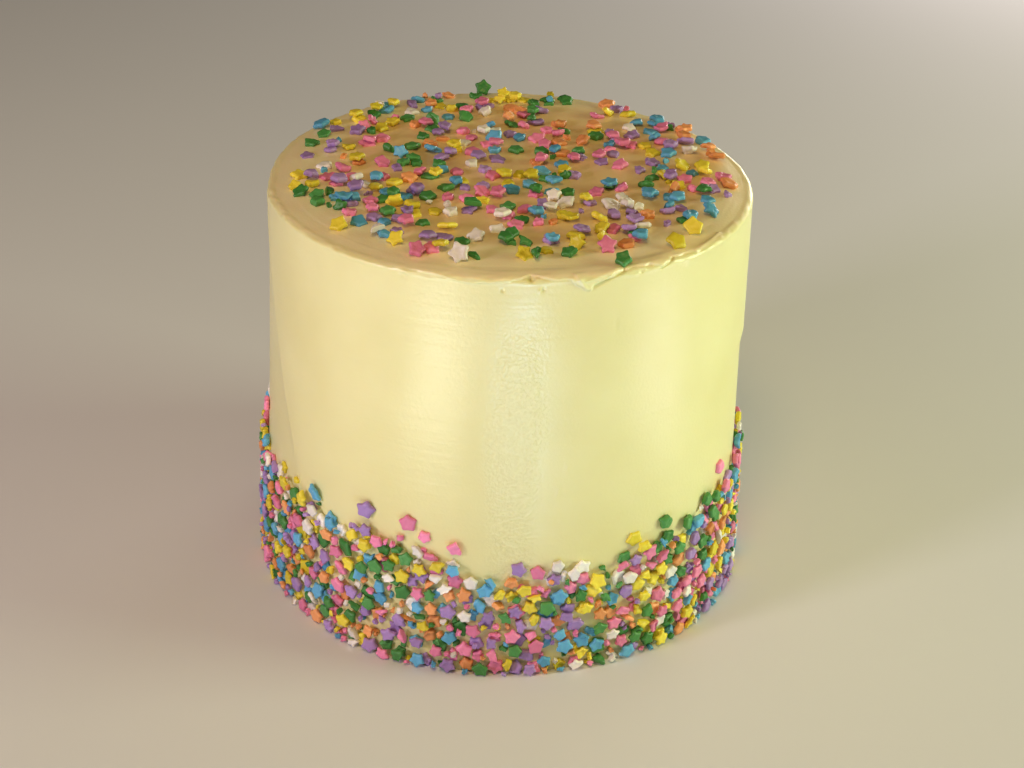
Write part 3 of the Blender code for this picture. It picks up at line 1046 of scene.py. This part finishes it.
def add_range(tree, share, low, high):
    """A value between low and high, from a share."""
    inputs = {"Value": share, "To Min": low, "To Max": high}
    return add_node(tree, "ShaderNodeMapRange", inputs).outputs["Result"]


def add_math(tree, operation, *values):
    """The result of an operation on numbers."""
    return add_node(tree, "ShaderNodeMath", dict(enumerate(values)), operation=operation).outputs["Value"]


def add_mix(tree, share, first, second):
    """A mix of two colours. The node has its colours at the sockets listed here."""
    share_socket, first_socket, second_socket, result = 0, 6, 7, 2
    inputs = {share_socket: share, first_socket: first, second_socket: second}
    return add_node(tree, "ShaderNodeMix", inputs, data_type="RGBA").outputs[result]


def add_bump(tree, height, strength, depth, **more):
    """A surface direction with the relief of a noise."""
    inputs = {"Height": height, "Strength": strength, "Distance": depth, **more}
    return add_node(tree, "ShaderNodeBump", inputs).outputs["Normal"]


def icing_material():
    """Smooth buttercream: soft sheen, faint mottling, and a grain that shows in its highlights. Its top has
    painted light, with painted shade in its middle.
    """
    material, tree, shader, where = new_material("icing")
    mottle = add_noise(tree, where, *MOTTLE_NOISE)
    grain = add_noise(tree, where, *GRAIN_NOISE)
    axes = add_node(tree, "ShaderNodeSeparateXYZ", {"Vector": where})
    x, y, z = (axes.outputs[axis] for axis in "XYZ")

    # How much of the coarser grain shows
    beside = add_math(tree, "ABSOLUTE", add_math(tree, "SUBTRACT", x, GRAIN_MIDDLE))
    beside = add_math(tree, "ADD", beside, add_math(tree, "MULTIPLY", mottle, GRAIN_SWAY))
    start, end = (share * GRAIN_HALF_WIDTH + 0.5 * GRAIN_SWAY for share in GRAIN_FADE)
    strip = add_step(tree, beside, start, end)
    front = add_step(tree, y, 0.0, -0.5 * TOP_RADIUS)
    below = add_step(tree, z, GRAIN_TOP + GRAIN_TOP_SOFTNESS, GRAIN_TOP - GRAIN_TOP_SOFTNESS)
    grainy = add_math(tree, "MULTIPLY", add_math(tree, "MULTIPLY", strip, front), below)

    # Colours of the wall, of the edge of the top with its painted light, and of its middle with its painted
    # shade
    patches = add_node(tree, "ShaderNodeMix", {0: grainy, 2: mottle, 3: grain}).outputs[0]
    wall = add_ramp(tree, patches, WALL_ICING, PATCH_ENDS)
    edge = add_ramp(tree, mottle, PAINTED_LIGHT_EDGE_ICING, PATCH_ENDS)
    shaded_inner = add_ramp(tree, mottle, PAINTED_SHADE_INNER_ICING, PATCH_ENDS)
    # Painted shade: inside a swaying circle, the middle of the top takes the darker colour
    level = add_node(tree, "ShaderNodeCombineXYZ", {"X": x, "Y": y}).outputs["Vector"]
    ends = {0: level, 1: PAINTED_SHADE_CENTRE}
    distance = add_node(tree, "ShaderNodeVectorMath", ends, operation="DISTANCE").outputs["Value"]
    reach = add_math(tree, "ADD", distance, add_math(tree, "MULTIPLY", mottle, PAINTED_SHADE_SWAY))
    limit = PAINTED_SHADE_RADIUS + 0.5 * PAINTED_SHADE_SWAY
    inside = add_step(tree, reach, limit + PAINTED_SHADE_SOFTNESS, limit - PAINTED_SHADE_SOFTNESS)
    start, end = (CAKE_HEIGHT - depth for depth in TOP_PAINTED_LIGHT_DEPTHS)
    top = add_mix(tree, inside, edge, shaded_inner)
    # Painted light and shade of the top take over from the wall's own colour just below the top's height
    tree.links.new(add_mix(tree, add_step(tree, z, start, end), wall, top), shader.inputs["Base Color"])

    # Sheen, level lines and grain
    gloss = add_noise(tree, where, *GLOSS_NOISE)
    tree.links.new(add_range(tree, gloss, *ICING_ROUGHNESS), shader.inputs["Roughness"])
    stretch = add_node(tree, "ShaderNodeMapping", {"Vector": where, "Scale": LINE_SCALES})
    lines = add_noise(tree, stretch.outputs["Vector"], *LINE_NOISE)
    fine = add_bump(tree, grain, add_range(tree, grainy, *GRAIN_STRENGTHS), GRAIN_DEPTH)
    bump = add_bump(tree, lines, LINE_STRENGTH, LINE_DEPTH, Normal=fine)
    tree.links.new(bump, shader.inputs["Normal"])
    shader.inputs["Specular IOR Level"].default_value = 0.8
    shader.inputs["Subsurface Weight"].default_value = 0.2
    shader.inputs["Subsurface Radius"].default_value = (1.0, 0.7, 0.3)
    shader.inputs["Subsurface Scale"].default_value = 3.0 * MM
    return material


def sugar_material(name):
    """Pressed sugar: grainy, with a faint gloss, each star a little lighter or darker than the next."""
    material, tree, shader, where = new_material(f"sugar_{name}")
    shades = [
        [min(1.0, part * factor + more) for part in SUGAR_COLOURS[name]] for factor, more in SUGAR_SHADES
    ]
    island = tree.nodes.new("ShaderNodeNewGeometry").outputs["Random Per Island"]
    tree.links.new(add_ramp(tree, island, shades), shader.inputs["Base Color"])
    grain = add_noise(tree, where, *SUGAR_NOISE)
    tree.links.new(add_bump(tree, grain, SUGAR_STRENGTH, SUGAR_DEPTH), shader.inputs["Normal"])
    shader.inputs["Roughness"].default_value = 0.4
    return material


def make_floor():
    """A plain pale floor."""
    material, tree, shader, where = new_material("floor")
    tone = add_noise(tree, where, *FLOOR_NOISE)
    tree.links.new(add_ramp(tree, tone, FLOOR_TONES), shader.inputs["Base Color"])
    shader.inputs["Roughness"].default_value = 0.8
    corners = [(x * FLOOR_HALF, y * FLOOR_HALF, 0.0) for x, y in ((-1, -1), (1, -1), (1, 1), (-1, 1))]
    data = bpy.data.meshes.new("floor")
    data.from_pydata(corners, [], [(0, 1, 2, 3)])
    data.materials.append(material)
    floor = bpy.data.objects.new("floor", data)
    bpy.context.scene.collection.objects.link(floor)


def add_light(name, size, power, colour):
    """A soft rectangular light, still to be placed."""
    light = bpy.data.lights.new(name, "AREA")
    light.shape = "RECTANGLE"
    light.size, light.size_y = size
    light.energy = power
    light.color = colour
    lamp = bpy.data.objects.new(name, light)
    bpy.context.scene.collection.objects.link(lamp)
    return lamp


def add_softbox(name, azimuth, elevation, distance, *looks):
    """A soft light that looks at the middle of the cake."""
    lamp = add_light(name, *looks)
    turn, rise = math.radians(azimuth), math.radians(elevation)
    towards = Vector((math.sin(turn) * math.cos(rise), -math.cos(turn) * math.cos(rise), math.sin(rise)))
    lamp.location = towards * distance + Vector((0.0, 0.0, 0.5 * CAKE_HEIGHT))
    lamp.rotation_euler = towards.to_track_quat("Z", "Y").to_euler()


def add_glow(name, azimuth, distance, *looks):
    """A soft light that lies on the floor and looks up."""
    lamp = add_light(name, *looks)
    turn = math.radians(azimuth)
    lamp.location = (distance * math.sin(turn), -distance * math.cos(turn), GLOW_HEIGHT)
    lamp.rotation_euler = (math.pi, 0.0, turn)
    lamp.visible_camera = False


def make_lights():
    """Soft lights round the cake, low ones for the sheen of its icing, and a dim warm room."""
    for name, values in SOFTBOXES.items():
        add_softbox(name, *values)
    for name, values in GLOWS.items():
        add_glow(name, *values)
    world = bpy.data.worlds.new("room")
    world.use_nodes = True
    background = world.node_tree.nodes["Background"]
    background.inputs["Color"].default_value = (*ROOM_COLOUR, 1.0)
    background.inputs["Strength"].default_value = ROOM_STRENGTH
    bpy.context.scene.world = world
    bpy.context.scene.view_settings.view_transform = "Standard"


def make_camera():
    """The photograph's camera."""
    data = bpy.data.cameras.new("camera")
    data.sensor_width = SENSOR_WIDTH
    data.lens = SENSOR_WIDTH * FOCAL_PIXELS / PICTURE_WIDTH
    data.clip_start = CLIP_START
    camera = bpy.data.objects.new("camera", data)
    rise, roll = math.radians(CAMERA_ELEVATION), math.radians(CAMERA_ROLL)
    back = Vector((0.0, -math.cos(rise), math.sin(rise)))
    right, up = Vector((1.0, 0.0, 0.0)), Vector((0.0, math.sin(rise), math.cos(rise)))
    across = right * math.cos(roll) + up * math.sin(roll)
    upward = up * math.cos(roll) - right * math.sin(roll)
    place = Matrix.Translation(Vector(CAMERA_TARGET) + back * CAMERA_DISTANCE)
    camera.matrix_world = place @ Matrix((across, upward, back)).transposed().to_4x4()
    bpy.context.scene.collection.objects.link(camera)
    bpy.context.scene.camera = camera


make_camera()
make_lights()
make_floor()
make_icing()
make_stars()
